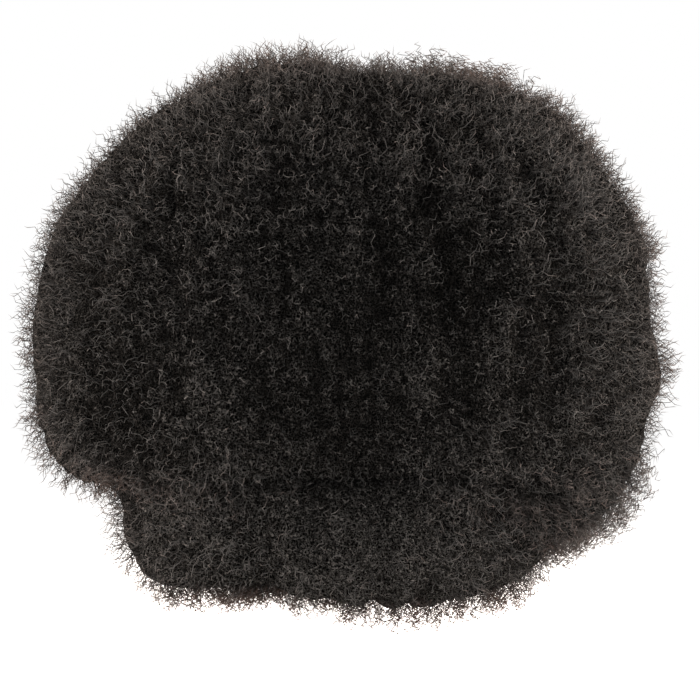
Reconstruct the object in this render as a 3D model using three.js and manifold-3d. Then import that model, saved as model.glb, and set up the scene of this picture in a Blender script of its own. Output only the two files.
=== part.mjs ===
// A kinky afro wig in the form that it keeps on a head: a stretch net cap with a folded tape
// round its edge, and four groups of wefted hair sewn over it. The hair of each group is a
// puffed mass whose outside is made of long soft locks, which fall from the crown and are fused
// to a backing that follows the cap.
// Millimetres, +Z up. The wearer faces -Y and their left side is +X. The origin is the spot
// inside the cap that rests on the crown of the head.

import * as THREE from "three";
import { mergeVertices } from "three/addons/utils/BufferGeometryUtils.js";
import Module from "manifold-3d";

const wasm = await Module();
wasm.setup();

// Cap: the inside of the net, which is half an egg with the head's own sizes
const CAP_WIDTH = 156;
const CAP_DEPTH = 196;
const CAP_HEIGHT = 114; // from the crown down to the widest line
const NET_THICKNESS = 1.2;
const TAPE_WIDTH = 10;
const TAPE_WALL = 1;
const CLEARANCE = 0.4; // between pieces that touch
const SPLIT_GAP = 0.5; // between neighbouring groups of hair

// Hair: how far it stands out from the cap, and how far it falls below the cap's widest line
const HAIR_TOP = 33;
const HAIR_LEFT = 130;
const HAIR_RIGHT = 127;
const HAIR_BACK = 82;
const HAIR_FRONT = 40;
const BELLY_FALL = 34; // the level where the hair is widest
const LEFT_FALL = 138;
const RIGHT_FALL = 174;
const BACK_FALL = 152;
const FRINGE_FALL = 12; // the front hair, below the cap's edge on the forehead
const NECK_WIDTH = 146;
const NECK_DEPTH = 172;
const NECK_START = 50; // below the cap's widest line
const HEM_POLAR = 154; // where the outside ends and the underside starts
const BACK_HEM_POLAR = 138;
const UNDER_REACH = 0.82; // the hem's underside is flat in to this share of its reach
const BACK_UNDER_REACH = 0.94;

// Nape: the lowest tier of hair, which comes out from under the back
const NAPE_SIDE = 68;
const NAPE_BACK = 68;
const NAPE_LEFT_FALL = 204;
const NAPE_BACK_FALL = 211;
const NAPE_RIGHT_FALL = 200;
const NAPE_END_RISE = 26; // its hem is higher at both ends
const NAPE_WEFT_RISE = 26; // the tier is sewn on from the edge up to here

// Turns go round the head in degrees: 0 is the face, 90 the wearer's left, 180 the back
const FACE_TURN = 52; // the hair beside the face starts here on each side
const FACE_SOFTEN = 13;
const PART_TURN = -17;
const NAPE_TURN = 104; // and the nape's tier here
const NAPE_SOFTEN = 14;
const LOCK_STEP = 12;
const LEFT_LOCKS = 12;
const RIGHT_LOCKS = 9;
const NAPE_LOCKS = 11;
const PLAN_FULLNESS = 2.15; // 2 is an ellipse seen from above, and more is squarer
const LEFT_FULLNESS = 2.2; // the same for the dome's outline on each side
const RIGHT_FULLNESS = 2.35;
const HEM_FULLNESS = 4;
const NAPE_FULLNESS = 5;
const NAPE_WIDEST = 0.45; // how far up from its hem the nape's tier is widest

// Locks
const LOCK_WIDTH = 40;
const LOCK_DEPTH = 25;
const LOCK_RELIEF = 8; // how far a lock stands out from the backing
const LOCK_START = 9; // the polar angles that the locks run between, in degrees
const LOCK_END = 146;
const NAPE_LOCK_START = 80;
const NAPE_LOCK_END = 158;
const LOCK_ROOM = 0.75; // the most of half a step that half a lock takes up
const LOCK_OVERLAP = 2;
const LOCK_ROUNDNESS = 1.2; // the most that a lock is deeper than it is wide
const TIP_LENGTH = 0.7; // a share of the depth at a lock's end
const PART_WIDTH = 13;
const PART_DEPTH = 30;
const SWELL_RISE = 14; // the front hair stands up highest on the wearer's right of the part
const SWELL_TURN = -58;
const SWELL_SPREAD = 52;

const TURN_STEPS = 44;
const CAP_ROWS = 5;
const OUTER_ROWS = 8;
const LOCK_SIDES = 8;
const SPLIT_STEPS = 8;
const FAR = 450; // beyond the object in every direction

// The cap's edge, from the forehead round to the nape. drop is a share of the cap's height.
const EDGE_LINE = [
  { turn: 0, drop: 0.54 },
  { turn: 36, drop: 0.54 },
  { turn: 74, drop: 1.06 },
  { turn: 98, drop: 0.9 },
  { turn: 180, drop: 1.38 },
];

// The rows of the nape's outline, as polar angles.
const NAPE_POLARS = [60, 90, 115, 135, 150, 162];
const NAPE_STEPS = 18;

// Neighbouring locks differ. shift is in degrees, width and depth are shares of a lock's own
// sizes, lift is a share of the relief, and fall is the share of the outline that it covers.
const LOCK_KINDS = [
  { shift: 0, width: 1.0, depth: 1.0, lift: 0.9, fall: 0.96 },
  { shift: -1.5, width: 0.86, depth: 0.95, lift: 0.45, fall: 0.92 },
  { shift: 0.5, width: 1.12, depth: 1.05, lift: 1.0, fall: 0.97 },
  { shift: 1.5, width: 0.9, depth: 0.95, lift: 0.6, fall: 0.93 },
  { shift: -0.5, width: 1.05, depth: 1.0, lift: 0.75, fall: 0.95 },
];

// A lock's size along its length, from its root to its rounded end, as shares of its widest.
const LOCK_SHAPE = [
  { at: 0.0, size: 0.5 },
  { at: 0.12, size: 0.72 },
  { at: 0.25, size: 0.88 },
  { at: 0.37, size: 0.96 },
  { at: 0.49, size: 1.0 },
  { at: 0.61, size: 1.02 },
  { at: 0.73, size: 1.02 },
  { at: 0.85, size: 0.98 },
  { at: 0.94, size: 0.84 },
  { at: 1.0, size: 0.56 },
];

// Low tufts on the top, beside the part. reach is a share of the cap's half width, size is a
// share of a lock's width, and rise is a share of the relief by which it tops the hair.
const TOP_TUFTS = [
  { turn: 128, reach: 0.3, size: 0.6, rise: 0.62 },
  { turn: 40, reach: 0.42, size: 0.7, rise: 0.25 },
  { turn: -76, reach: 0.36, size: 0.4, rise: 0.38 },
];
const TUFT_SQUASH = 0.7;

const radians = THREE.MathUtils.degToRad;
const mix = THREE.MathUtils.lerp;
const ease = THREE.MathUtils.smoothstep;
const DOWN = Math.PI / 2; // the polar angle of the widest line, counted from the crown

// A point at a turn, a distance from the upright axis through the crown, and a height.
function place(turn, [reach, height]) {
  const angle = radians(turn);
  return new THREE.Vector3(reach * Math.sin(angle), -reach * Math.cos(angle), height);
}

// The turn as an angle from the face, the same on both sides.
function aside(turn) {
  return Math.abs(THREE.MathUtils.euclideanModulo(turn + 180, 360) - 180);
}

function isLeft(turn) {
  return Math.sin(radians(turn)) >= 0;
}

// Distance from the axis to an oval with these half sizes. power 2 is an ellipse.
function oval(turn, half, end, power) {
  const across = Math.abs(Math.sin(radians(turn))) / half;
  const along = Math.abs(Math.cos(radians(turn))) / end;
  return (across ** power + along ** power) ** (-1 / power);
}

// A point of the cap in its upright section: offset is counted outwards from the net's inside,
// and polar is the angle from the crown.
function capSection(turn, offset, polar) {
  const reach = oval(turn, CAP_WIDTH / 2 + offset, CAP_DEPTH / 2 + offset, 2);
  return [reach * Math.sin(polar), (CAP_HEIGHT + offset) * Math.cos(polar) - CAP_HEIGHT];
}

// The polar angle of the cap's edge.
function edgePolar(turn) {
  const from = aside(turn);
  const next = EDGE_LINE.findIndex((row, i) => i > 0 && from <= row.turn);
  const [a, b] = [EDGE_LINE[next - 1], EDGE_LINE[next]];
  const drop = mix(a.drop, b.drop, ease(from, a.turn, b.turn));
  return Math.acos(1 - drop);
}

// The polar angle at a distance along the cap from its edge, downwards if it is positive.
function pastEdge(turn, distance) {
  return edgePolar(turn) + distance / CAP_HEIGHT;
}

const NET_OUTSIDE = NET_THICKNESS;
const HAIR_SEAT = NET_OUTSIDE + CLEARANCE;
const TAPE_OUTSIDE = NET_OUTSIDE + CLEARANCE + TAPE_WALL;
const TAPE_SEAT = TAPE_OUTSIDE + 2 * CLEARANCE;
const TAPE_END = CLEARANCE + TAPE_WALL;
const SEAT_STEP = 3; // the hair steps out over the tape in this length
const INSIDE_REACH = CAP_WIDTH / 4; // well inside the head's room, where nothing shows

const turns = Array.from({ length: TURN_STEPS }, (_, i) => (i * 360) / TURN_STEPS);

// The polar angles of the cap's rows, from the crown down to just above the tape. The net and
// the hair on it have the same rows, so that they stay the same distance apart.
function capRows(turn) {
  const end = pastEdge(turn, -TAPE_WIDTH - SEAT_STEP);
  return Array.from({ length: CAP_ROWS + 1 }, (_, i) => (end * i) / CAP_ROWS);
}

// A three.js geometry as a closed solid that can be joined and cut.
function solidOf(geometry) {
  const bare = new THREE.BufferGeometry();
  bare.setAttribute("position", geometry.getAttribute("position"));
  if (geometry.index) bare.setIndex(geometry.index);
  const merged = mergeVertices(bare, 1e-4);
  const triVerts = new Uint32Array(merged.index.array);
  const vertProperties = new Float32Array(merged.attributes.position.array);
  const solid = new wasm.Manifold(new wasm.Mesh({ numProp: 3, vertProperties, triVerts }));
  if (solid.volume() >= 0) return solid;
  triVerts.reverse();
  return new wasm.Manifold(new wasm.Mesh({ numProp: 3, vertProperties, triVerts }));
}

// Joins the rows of points into a skin. Each row has as many points as the next. A closed row
// ends where it starts, and closed rows go all the way round. Caps are triangles of a row.
function skin(rows, { rowsClose, pointsClose, startCap = [], endCap = [] }) {
  const points = rows.flat();
  const perRow = rows[0].length;
  const index = [];
  const add = (a, b, c) => {
    const [p, q, r] = [points[a], points[b], points[c]];
    const apart = Math.min(p.distanceTo(q), q.distanceTo(r), r.distanceTo(p));
    if (apart > 1e-3) index.push(a, b, c);
  };
  const lastRow = rowsClose ? rows.length : rows.length - 1;
  const lastPoint = pointsClose ? perRow : perRow - 1;
  for (let i = 0; i < lastRow; i++) {
    const next = ((i + 1) % rows.length) * perRow;
    for (let j = 0; j < lastPoint; j++) {
      const beside = (j + 1) % perRow;
      add(i * perRow + j, next + j, next + beside);
      add(i * perRow + j, next + beside, i * perRow + beside);
    }
  }
  const endRow = (rows.length - 1) * perRow;
  startCap.forEach(([a, b, c]) => index.push(a, b, c));
  endCap.forEach(([a, b, c]) => index.push(endRow + a, endRow + c, endRow + b));
  const geometry = new THREE.BufferGeometry().setFromPoints(points);
  geometry.setIndex(index);
  return solidOf(geometry);
}

// A dome all round the head, from upright sections that start and end on the axis.
function dome(sectionAt) {
  const rows = turns.map((turn) => sectionAt(turn).map((point) => place(turn, point)));
  return skin(rows, { rowsClose: true, pointsClose: false });
}

// The faces that fill a closed outline, wound the way that the outline runs.
function fill(outline) {
  const points = outline.map(([reach, height]) => new THREE.Vector2(reach, height));
  const faces = THREE.ShapeUtils.triangulateShape(points, []);
  const isLeftward = (corners) => THREE.ShapeUtils.area(corners) > 0;
  const leftward = isLeftward(points);
  return faces.map(([a, b, c]) =>
    isLeftward([points[a], points[b], points[c]]) === leftward ? [a, b, c] : [a, c, b],
  );
}

// A curtain from one turn to another, from upright sections that close on themselves.
function curtain(from, to, steps, sectionAt) {
  const stops = Array.from({ length: steps + 1 }, (_, i) => mix(from, to, i / steps));
  const sections = stops.map(sectionAt);
  const rows = sections.map((section, i) => section.map((point) => place(stops[i], point)));
  return skin(rows, {
    rowsClose: false,
    pointsClose: true,
    startCap: fill(sections[0]),
    endCap: fill(sections[steps]),
  });
}

// The net: a thin dome from the crown to the edge.
function capNet() {
  return dome((turn) => {
    const polars = [...capRows(turn), pastEdge(turn, -TAPE_WIDTH), edgePolar(turn)];
    const outside = polars.map((polar) => capSection(turn, NET_OUTSIDE, polar));
    const inside = polars.map((polar) => capSection(turn, 0, polar)).reverse();
    return [...outside, ...inside];
  });
}

// The tape: folded over the net's edge, with a leg inside and a leg outside.
function capTape() {
  const corners = [
    [-CLEARANCE - TAPE_WALL, -TAPE_WIDTH],
    [-CLEARANCE - TAPE_WALL, TAPE_END],
    [TAPE_OUTSIDE, TAPE_END],
    [TAPE_OUTSIDE, -TAPE_WIDTH],
    [HAIR_SEAT, -TAPE_WIDTH],
    [HAIR_SEAT, CLEARANCE],
    [-CLEARANCE, CLEARANCE],
    [-CLEARANCE, -TAPE_WIDTH],
  ];
  const rows = turns.map((turn) =>
    corners.map(([offset, along]) =>
      place(turn, capSection(turn, offset, pastEdge(turn, along))),
    ),
  );
  return skin(rows, { rowsClose: true, pointsClose: true });
}

// How far the hair falls at a turn, counted from the crown.
function fallAt(turn, left, right, back) {
  const side = Math.sin(radians(turn)) ** 2;
  const behind = aside(turn) > 90 ? back : isLeft(turn) ? left : right;
  return CAP_HEIGHT + mix(behind, isLeft(turn) ? left : right, side);
}

// The outline of the whole head of hair, without the nape. polar runs from the crown at 0 past
// the widest level at a quarter turn. sink moves it inwards.
function hairSection(turn, polar, sink) {
  const half = CAP_WIDTH / 2 + (isLeft(turn) ? HAIR_LEFT : HAIR_RIGHT) - sink;
  const end = CAP_DEPTH / 2 + (aside(turn) > 90 ? HAIR_BACK : HAIR_FRONT) - sink;
  const belly = -CAP_HEIGHT - BELLY_FALL;
  const lean = (1 + Math.sin(radians(turn))) / 2;
  const above = polar < DOWN;
  const power = 2 / (above ? mix(RIGHT_FULLNESS, LEFT_FULLNESS, lean) : HEM_FULLNESS);
  const hem = -fallAt(turn, LEFT_FALL, RIGHT_FALL, BACK_FALL);
  const height = (above ? HAIR_TOP - belly : hem - belly) - Math.sign(DOWN - polar) * sink;
  const near = ease(SWELL_SPREAD - aside(turn - SWELL_TURN), 0, SWELL_SPREAD);
  const swell = SWELL_RISE * near * Math.sin(2 * polar) ** 2;
  return [
    oval(turn, half, end, PLAN_FULLNESS) * Math.sin(polar) ** power,
    belly + height * Math.abs(Math.cos(polar)) ** power + (above ? swell : 0),
  ];
}

// 0 beside the face and 1 behind the ears, where the nape's tier carries on below the hair.
function isBehind(turn) {
  return ease(aside(turn), NAPE_TURN, NAPE_TURN + NAPE_SOFTEN);
}

// The polar angle where the hair ends: over the forehead, or at the hem beside and behind.
function hemPolar(turn) {
  const forehead = -CAP_HEIGHT * EDGE_LINE[0].drop - FRINGE_FALL;
  const share = (forehead + CAP_HEIGHT + BELLY_FALL) / (HAIR_TOP + CAP_HEIGHT + BELLY_FALL);
  const fringe = Math.acos(share ** (LEFT_FULLNESS / 2));
  const hem = mix(HEM_POLAR, BACK_HEM_POLAR, isBehind(turn));
  const open = ease(aside(turn), FACE_TURN - FACE_SOFTEN, FACE_TURN + FACE_SOFTEN);
  return mix(fringe, radians(hem), open);
}

// The room that the hair leaves free: the cap with its tape, and the hollow for the neck and the
// jaw below it.
function headRoom() {
  return dome((turn) => {
    const onNet = capRows(turn).map((polar) => capSection(turn, HAIR_SEAT, polar));
    const tapeTop = capSection(turn, TAPE_SEAT, pastEdge(turn, -TAPE_WIDTH - CLEARANCE));
    const foot = capSection(turn, TAPE_SEAT, pastEdge(turn, TAPE_END + 2 * CLEARANCE));
    const neck = oval(turn, NECK_WIDTH / 2, NECK_DEPTH / 2, 2);
    return [...onNet, tapeTop, foot, [neck, -CAP_HEIGHT - NECK_START], [neck, -FAR], [0, -FAR]];
  });
}

// The backing of the upper hair. Behind, its underside slopes up to the row where the nape's
// tier is sewn on. spread makes it larger all round, to cut room for it in the nape.
function hairBacking(spread) {
  return dome((turn) => {
    const hem = hemPolar(turn);
    const behind = isBehind(turn);
    const outside = Array.from({ length: OUTER_ROWS + 1 }, (_, i) =>
      hairSection(turn, (hem * i) / OUTER_ROWS, LOCK_RELIEF - spread),
    );
    const [hemReach] = hairSection(turn, hem, LOCK_RELIEF);
    const hemHeight = Math.min(outside[OUTER_ROWS][1], hairSection(turn, hem, LOCK_RELIEF)[1]);
    const [weftReach, weftHeight] = capSection(turn, 0, pastEdge(turn, -NAPE_WEFT_RISE));
    const under = [hemReach * mix(UNDER_REACH, BACK_UNDER_REACH, behind), hemHeight];
    const innerHeight = mix(hemHeight, weftHeight - spread / 4, behind);
    const inner = [mix(INSIDE_REACH, weftReach, behind), innerHeight];
    return [...outside, under, inner, [0, -CAP_HEIGHT]];
  });
}

// A soft body carried along a line of frames: each has a centre, a direction across and one
// outwards, and half sizes along both. It is closed by a rounded tip at each end.
function lockBody(frames) {
  const rows = frames.map(({ centre, across, outwards, halfWidth, halfDepth }) =>
    Array.from({ length: LOCK_SIDES }, (_, i) => {
      const angle = (i * 2 * Math.PI) / LOCK_SIDES;
      return centre
        .clone()
        .addScaledVector(across, halfWidth * Math.cos(angle))
        .addScaledVector(outwards, halfDepth * Math.sin(angle));
    }),
  );
  const tip = (end, inner) => {
    const away = end.centre.clone().sub(inner.centre).normalize();
    const point = end.centre.clone().addScaledVector(away, end.halfDepth * TIP_LENGTH);
    return Array.from({ length: LOCK_SIDES }, () => point);
  };
  const last = frames.length - 1;
  return skin([tip(frames[0], frames[1]), ...rows, tip(frames[last], frames[last - 1])], {
    rowsClose: false,
    pointsClose: true,
  });
}

// The frames of a lock that lies on a surface from one polar angle to another. surface gives a
// point from a turn and a polar angle. The lock's crest stands lift above the surface.
function lockFrames(surface, turn, from, to, { width, depth, lift, shape }) {
  const nudge = radians(0.5);
  return shape.map(({ at, size }) => {
    const polar = mix(from, to, at);
    const on = surface(turn, polar);
    const down = surface(turn, polar + nudge).sub(surface(turn, polar - nudge)).normalize();
    const across = surface(turn + 1, polar).sub(surface(turn - 1, polar));
    const halfStep = (across.length() * LOCK_STEP) / 2;
    across.normalize();
    const outwards = down.clone().cross(across).normalize();
    const halfWidth = Math.min((width * size) / 2, halfStep * LOCK_ROOM + LOCK_OVERLAP);
    const halfDepth = Math.min((depth * size) / 2, halfWidth * LOCK_ROUNDNESS);
    const centre = on.clone().addScaledVector(outwards, lift - halfDepth);
    return { centre, across, outwards, halfWidth, halfDepth };
  });
}

// One lock of the upper hair.
function hairLock(turn, kind) {
  const surface = (t, polar) => place(t, hairSection(t, polar, LOCK_RELIEF));
  const to = Math.min(hemPolar(turn) * kind.fall, radians(LOCK_END));
  return lockBody(
    lockFrames(surface, turn, radians(LOCK_START), to, {
      width: LOCK_WIDTH * kind.width,
      depth: LOCK_DEPTH * kind.depth,
      lift: LOCK_RELIEF * kind.lift,
      shape: LOCK_SHAPE,
    }),
  );
}

// A tuft that stands a little out of the top.
function topTuft({ turn, reach, size, rise }) {
  const radius = LOCK_WIDTH * size;
  const ball = new THREE.SphereGeometry(radius, LOCK_SIDES, LOCK_SIDES - 2);
  const foot = place(turn, [(CAP_WIDTH / 2) * reach, 0]);
  ball.rotateX(DOWN);
  ball.scale(1, 1, TUFT_SQUASH);
  ball.translate(foot.x, foot.y, HAIR_TOP + LOCK_RELIEF * rise - radius * TUFT_SQUASH);
  return solidOf(ball);
}

function joined(solids) {
  return solids.reduce((all, one) => all.add(one));
}

// The turns of the locks, which start half a step from the part, so that it stays a valley.
const lockTurns = Array.from({ length: 360 / LOCK_STEP }, (_, i) => {
  const { shift } = LOCK_KINDS[i % LOCK_KINDS.length];
  return PART_TURN + (i + 0.5) * LOCK_STEP + shift;
});

function upperHair() {
  const locks = lockTurns.map((turn, i) => hairLock(turn, LOCK_KINDS[i % LOCK_KINDS.length]));
  return joined([hairBacking(0), ...locks, ...TOP_TUFTS.map(topTuft)]);
}

// The groove of the part, from the crown to the forehead.
function partGroove() {
  const surface = (t, polar) => place(t, hairSection(t, polar, 0));
  const shape = LOCK_SHAPE.map(({ at }) => ({ at, size: 1 }));
  return lockBody(
    lockFrames(surface, PART_TURN, radians(LOCK_START), hemPolar(PART_TURN), {
      width: PART_WIDTH,
      depth: PART_DEPTH,
      lift: PART_DEPTH / 2,
      shape,
    }),
  );
}

// The room between two turns, out to far away, drawn back by half the gap on each side.
function between(from, to) {
  const half = radians(to - from) / 2;
  const middle = (from + to) / 2;
  const apex = place(middle, [SPLIT_GAP / 2 / Math.sin(half), 0]);
  const outline = [new THREE.Vector2(apex.x, apex.y)];
  for (let i = 0; i <= SPLIT_STEPS; i++) {
    const edge = place(mix(from, to, i / SPLIT_STEPS), [FAR, 0]).add(apex);
    outline.push(new THREE.Vector2(edge.x, edge.y));
  }
  const geometry = new THREE.ExtrudeGeometry(new THREE.Shape(outline), {
    depth: 2 * FAR,
    bevelEnabled: false,
  });
  geometry.translate(0, 0, -FAR);
  return solidOf(geometry);
}

// The outline of the nape's tier.
function napeSection(turn, polar, sink) {
  const half = CAP_WIDTH / 2 + NAPE_SIDE - sink;
  const end = CAP_DEPTH / 2 + NAPE_BACK - sink;
  const rise = NAPE_END_RISE * (1 - isBehind(turn));
  const hem = sink + rise - fallAt(turn, NAPE_LEFT_FALL, NAPE_RIGHT_FALL, NAPE_BACK_FALL);
  const middle = mix(hem, -CAP_HEIGHT, NAPE_WIDEST);
  const power = 2 / (polar < DOWN ? 2 : NAPE_FULLNESS);
  const height = polar < DOWN ? -CAP_HEIGHT - middle : hem - middle;
  return [
    oval(turn, half, end, PLAN_FULLNESS) * Math.sin(polar) ** power,
    middle + height * Math.abs(Math.cos(polar)) ** power,
  ];
}

// The nape's tier: a curtain from ear to ear round the back, with its own locks.
function napeHair() {
  const from = NAPE_TURN;
  const to = 360 - NAPE_TURN;
  const backing = curtain(from, to, NAPE_STEPS, (turn) => {
    const outside = NAPE_POLARS.map((polar) => napeSection(turn, radians(polar), LOCK_RELIEF));
    const [, hemHeight] = outside[outside.length - 1];
    const top = capSection(turn, 0, pastEdge(turn, -NAPE_WEFT_RISE));
    return [top, ...outside, [INSIDE_REACH, hemHeight], [INSIDE_REACH, top[1]]];
  });
  const surface = (t, polar) => place(t, napeSection(t, polar, LOCK_RELIEF));
  const locks = Array.from({ length: NAPE_LOCKS }, (_, i) => {
    const kind = LOCK_KINDS[(i * 2) % LOCK_KINDS.length];
    const turn = mix(from, to, (i + 0.5) / NAPE_LOCKS);
    const end = radians(NAPE_LOCK_END) * kind.fall;
    return lockBody(
      lockFrames(surface, turn, radians(NAPE_LOCK_START), end, {
        width: LOCK_WIDTH * kind.width,
        depth: LOCK_DEPTH * kind.depth,
        lift: LOCK_RELIEF * kind.lift,
        shape: LOCK_SHAPE.filter((_, row) => row % 2 === 0),
      }),
    );
  });
  return joined([backing, ...locks]);
}

// The largest body of a solid, without crumbs that a cut leaves.
function largest(solid) {
  return solid.decompose().reduce((a, b) => (a.volume() > b.volume() ? a : b));
}

const netFabric = { color: 0x15110f, roughness: 0.85, metalness: 0 };
const tapeFabric = { color: 0x0e0c0b, roughness: 0.75, metalness: 0 };
const kinkyHair = { color: 0x14110f, roughness: 0.7, metalness: 0 };

function meshOf(name, solid, finish) {
  const { vertProperties, triVerts, numProp } = solid.getMesh();
  const points = new Float32Array((vertProperties.length / numProp) * 3);
  for (let i = 0; i < points.length / 3; i++) {
    points.set(vertProperties.subarray(i * numProp, i * numProp + 3), i * 3);
  }
  const geometry = new THREE.BufferGeometry();
  geometry.setAttribute("position", new THREE.BufferAttribute(points, 3));
  geometry.setIndex(new THREE.BufferAttribute(triVerts, 1));
  const mesh = new THREE.Mesh(geometry, new THREE.MeshStandardMaterial(finish));
  mesh.name = name;
  return mesh;
}

const room = headRoom();
const upper = upperHair().subtract(partGroove()).subtract(room);
const backFrom = PART_TURN + LEFT_LOCKS * LOCK_STEP;
const backTo = PART_TURN + 360 - RIGHT_LOCKS * LOCK_STEP;
const nape = napeHair().subtract(hairBacking(LOCK_RELIEF + 2 * SPLIT_GAP)).subtract(room);

const wig = new THREE.Group();
wig.name = "afro_wig";
wig.add(
  meshOf("cap_net", capNet(), netFabric),
  meshOf("cap_tape", capTape(), tapeFabric),
  meshOf("hair_left", largest(upper.intersect(between(PART_TURN, backFrom))), kinkyHair),
  meshOf("hair_back", largest(upper.intersect(between(backFrom, backTo))), kinkyHair),
  meshOf("hair_right", largest(upper.intersect(between(backTo, PART_TURN + 360))), kinkyHair),
  meshOf("hair_nape", largest(nape), kinkyHair),
);

export default wig;
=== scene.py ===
import bpy
import mathutils
import numpy as np
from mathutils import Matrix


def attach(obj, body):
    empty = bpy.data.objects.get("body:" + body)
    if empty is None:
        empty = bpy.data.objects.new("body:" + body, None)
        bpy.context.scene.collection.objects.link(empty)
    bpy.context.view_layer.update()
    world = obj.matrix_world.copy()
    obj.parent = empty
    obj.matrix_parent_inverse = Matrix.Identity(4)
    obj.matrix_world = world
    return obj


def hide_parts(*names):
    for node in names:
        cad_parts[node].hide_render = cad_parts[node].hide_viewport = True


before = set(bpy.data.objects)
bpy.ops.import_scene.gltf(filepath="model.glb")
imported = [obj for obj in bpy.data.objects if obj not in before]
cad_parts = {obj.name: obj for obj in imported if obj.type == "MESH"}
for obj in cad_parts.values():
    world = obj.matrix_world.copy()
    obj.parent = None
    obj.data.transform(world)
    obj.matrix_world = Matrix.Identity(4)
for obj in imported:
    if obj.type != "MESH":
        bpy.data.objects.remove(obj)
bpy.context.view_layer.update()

# Cap net
# A stretch cap knitted as a fine net of black nylon, half an egg in shape. It is what the hair
# is sewn to, in rows that run round the head, and its stitches show from inside.
CAP_WIDTH, CAP_DEPTH, CAP_HEIGHT = 156.0, 196.0, 114.0
NET_THICKNESS, TAPE_WIDTH, SEAT_STEP = 1.2, 10.0, 3.0
EDGE_LINE = ((0, 0.54), (36, 0.54), (74, 1.06), (98, 0.9), (180, 1.38))
NET_BLACK, NET_THREAD = (0.004, 0.004, 0.004, 1), (0.035, 0.03, 0.027, 1)
NET_MESH = 2.2
NET_COLUMNS, NET_ROWS = 96, 31


def ease(value, low, high):
    """0 below low, 1 above high, and 3s² - 2s³ of the share s between them."""
    share = np.clip((value - low) / (high - low), 0, 1)
    return share * share * (3 - 2 * share)


def aside(turn):
    """The angle from the face in degrees, the same on both sides: |turn| within 180."""
    return np.abs((turn + 180) % 360 - 180)


def oval(turn, half, end, power):
    """Distance from the axis to an oval: (|sin t / half|^p + |cos t / end|^p)^(-1/p)."""
    t = np.radians(turn)
    return (np.abs(np.sin(t) / half) ** power + np.abs(np.cos(t) / end) ** power) ** (-1 / power)


def cap_section(turn, offset, polar):
    """Reach and height on half an egg that stands offset outside the net's inner face.

    The reach is the oval's times sin(polar), and the height is the egg's times cos(polar).
    """
    reach = oval(turn, CAP_WIDTH / 2 + offset, CAP_DEPTH / 2 + offset, 2)
    return reach * np.sin(polar), (CAP_HEIGHT + offset) * np.cos(polar) - CAP_HEIGHT


def past_edge(turn, distance):
    """The polar angle of the cap's edge, moved down the cap by a distance in millimetres."""
    from_face = aside(turn)
    drop = np.full_like(from_face, EDGE_LINE[0][1])
    for (start, low), (end, high) in zip(EDGE_LINE, EDGE_LINE[1:]):
        drop = np.where(from_face >= start, low + (high - low) * ease(from_face, start, end), drop)
    return np.arccos(1 - drop) + distance / CAP_HEIGHT


def place(turn, reach, height):
    """Points in metres from a turn in degrees, a distance from the axis and a height."""
    t = np.radians(turn)
    turned = (reach * np.sin(t), -reach * np.cos(t), height + 0 * t)
    return np.stack(np.broadcast_arrays(*turned), axis=-1) * 0.001


def mesh_object(name, points, quads, triangles, uv=None, **marks):
    """An object made from arrays of points and faces, smooth, with a UV and float marks."""
    mesh = bpy.data.meshes.new(name)
    loops = np.concatenate([np.ravel(quads), np.ravel(triangles)]).astype(np.int32)
    starts = [np.arange(len(quads)) * 4, len(quads) * 4 + np.arange(len(triangles)) * 3]
    mesh.vertices.add(len(points))
    mesh.vertices.foreach_set("co", np.ravel(points).astype(np.float32))
    mesh.loops.add(len(loops))
    mesh.loops.foreach_set("vertex_index", loops)
    mesh.polygons.add(len(quads) + len(triangles))
    mesh.polygons.foreach_set("loop_start", np.concatenate(starts).astype(np.int32))
    if uv is not None:
        layer = mesh.uv_layers.new(name="around")
        layer.data.foreach_set("uv", np.ravel(uv[loops]).astype(np.float32))
    for mark, values in marks.items():
        layer = mesh.attributes.new(mark, "FLOAT", "POINT")
        layer.data.foreach_set("value", np.ravel(values).astype(np.float32))
    mesh.update(calc_edges=True)
    mesh.validate()
    mesh.shade_smooth()
    piece = bpy.data.objects.new(name, mesh)
    bpy.context.scene.collection.objects.link(piece)
    return piece


def closed_dome(rows):
    """Faces of a grid whose rows run round the head, with its first and last row as one point.

    rows has the shape (rows, columns, 3). Gives the points, the quads and the triangles.
    """
    count, columns = rows.shape[:2]
    points = np.concatenate([rows[0, :1], rows[1:-1].reshape(-1, 3), rows[-1, :1]])
    index = 1 + np.arange((count - 2) * columns).reshape(count - 2, columns)
    across = np.roll(index, -1, axis=1)
    quads = np.stack([index[:-1], index[1:], across[1:], across[:-1]], axis=-1).reshape(-1, 4)
    first = np.stack([0 * index[0], index[0], across[0]], axis=-1)
    last = np.stack([index[-1], 0 * index[-1] + len(points) - 1, across[-1]], axis=-1)
    return points, quads, np.concatenate([first, last])


def material(name, roughness, specular):
    """A new node material: gives the tree's nodes, a link function and the shader."""
    made = bpy.data.materials.new(name)
    made.use_nodes = True
    nodes = made.node_tree.nodes
    shader = nodes["Principled BSDF"]
    shader.inputs["Roughness"].default_value = roughness
    shader.inputs["Specular IOR Level"].default_value = specular
    return made, nodes, made.node_tree.links.new, shader


cap_turns = np.arange(NET_COLUMNS) * 360 / NET_COLUMNS
cap_polars = past_edge(cap_turns, 0) * np.linspace(0, 1, NET_ROWS)[:, None]
outside = place(cap_turns, *cap_section(cap_turns, NET_THICKNESS, cap_polars))
inside = place(cap_turns, *cap_section(cap_turns, 0, cap_polars))[::-1]
net_points, net_quads, net_triangles = closed_dome(np.concatenate([outside, inside]))
cap_net = mesh_object("cap_net_knit", net_points, net_quads, net_triangles)

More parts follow.
